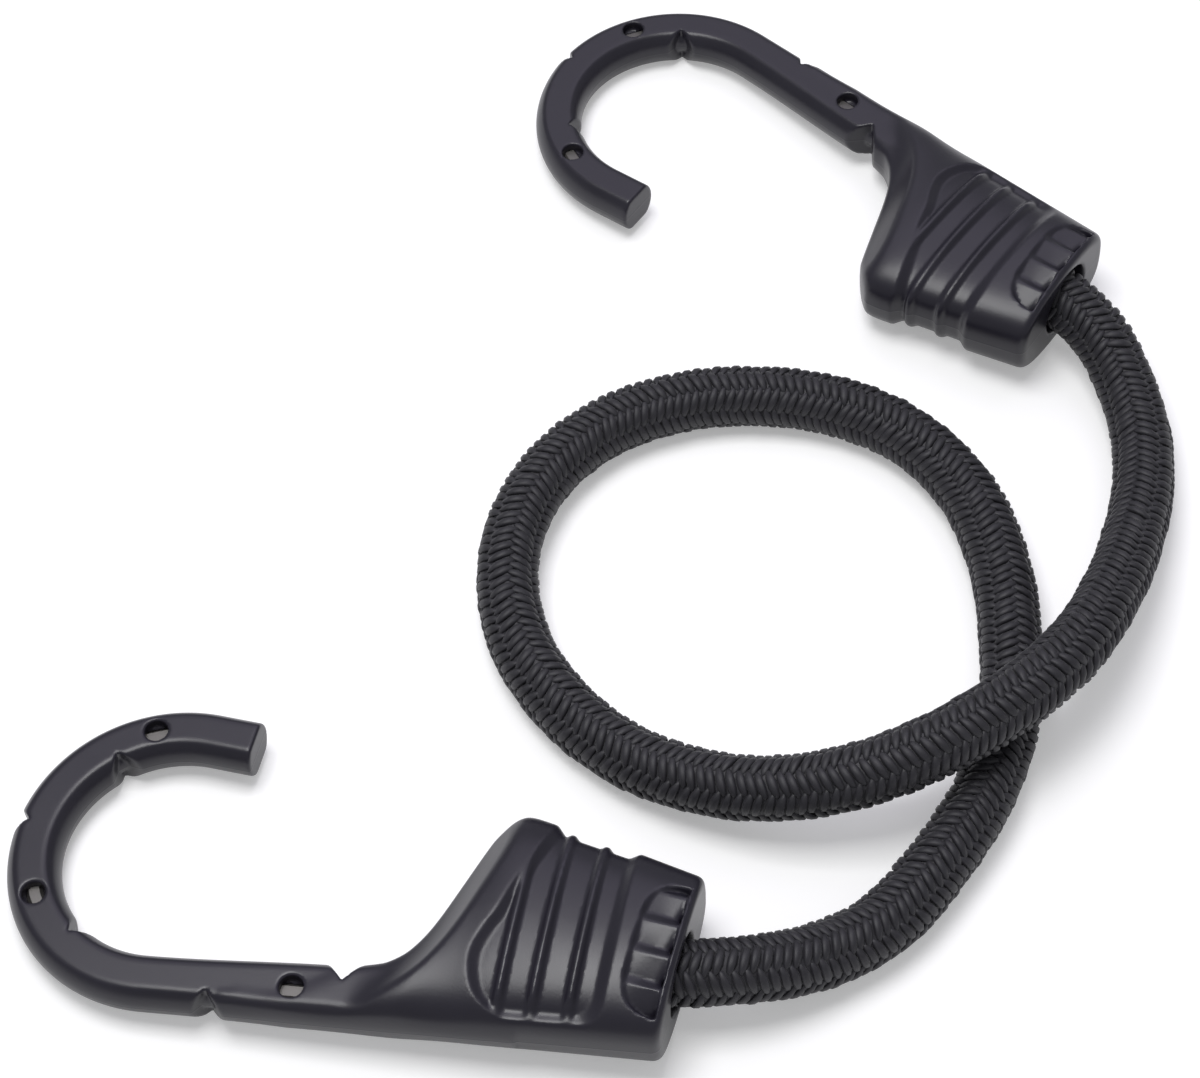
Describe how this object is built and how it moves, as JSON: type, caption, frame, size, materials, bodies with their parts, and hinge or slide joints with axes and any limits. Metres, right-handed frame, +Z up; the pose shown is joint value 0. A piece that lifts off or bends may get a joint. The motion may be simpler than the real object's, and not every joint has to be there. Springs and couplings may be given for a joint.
{
  "type": "bungee cord",
  "caption": "Round braided elastic cord lying in a loop, with an open moulded hook on each end for holding loads down.",
  "frame": {"origin": "on the surface that the part lies on, under the middle of the box round the two hooks", "axes": "+X to the right and +Y away from the viewer as the part is pictured, +Z up from the surface"},
  "size_m": [0.1806, 0.2038, 0.0206],
  "materials": {
    "braid": "matte black braided yarn",
    "latex": "plain natural rubber",
    "ring_steel": "plain crimped steel",
    "hook_plastic": "satin black moulding",
    "core_steel": "plain drawn wire"
  },
  "bodies": {
    "cord": {"cord_sheath": "braid", "rubber_strand_1": "latex", "rubber_strand_2": "latex", "rubber_strand_3": "latex", "rubber_strand_4": "latex", "rubber_strand_5": "latex", "rubber_strand_6": "latex", "rubber_strand_7": "latex", "crimp_ring_a": "ring_steel"},
    "hook_a": {"hook_a_moulding": "hook_plastic", "hook_a_steel_core": "core_steel"},
    "end_b": {"crimp_ring_b": "ring_steel"},
    "hook_b": {"hook_b_moulding": "hook_plastic", "hook_b_steel_core": "core_steel"}
  },
  "joints": [
    {"name": "twist_a", "type": "hinge", "parent": "cord", "child": "hook_a", "pos_m": [0.0124, -0.0893, 0.00949], "axis": [-0.9609, 0.2701, -0.0602], "range_deg": [-90, 90]},
    {"name": "stretch", "type": "slide", "parent": "cord", "child": "end_b", "axis": [-0.8241, 0.5664, 0], "range_m": [0, 0.03], "stiffness_N_per_m": 180, "deforming": ["cord_sheath", "rubber_strand_1", "rubber_strand_2", "rubber_strand_3", "rubber_strand_4", "rubber_strand_5", "rubber_strand_6", "rubber_strand_7"]},
    {"name": "twist_b", "type": "hinge", "parent": "end_b", "child": "hook_b", "pos_m": [0.0783, 0.03405, 0.00949], "axis": [-0.8226, 0.5654, -0.0602], "range_deg": [-90, 90]}
  ]
}
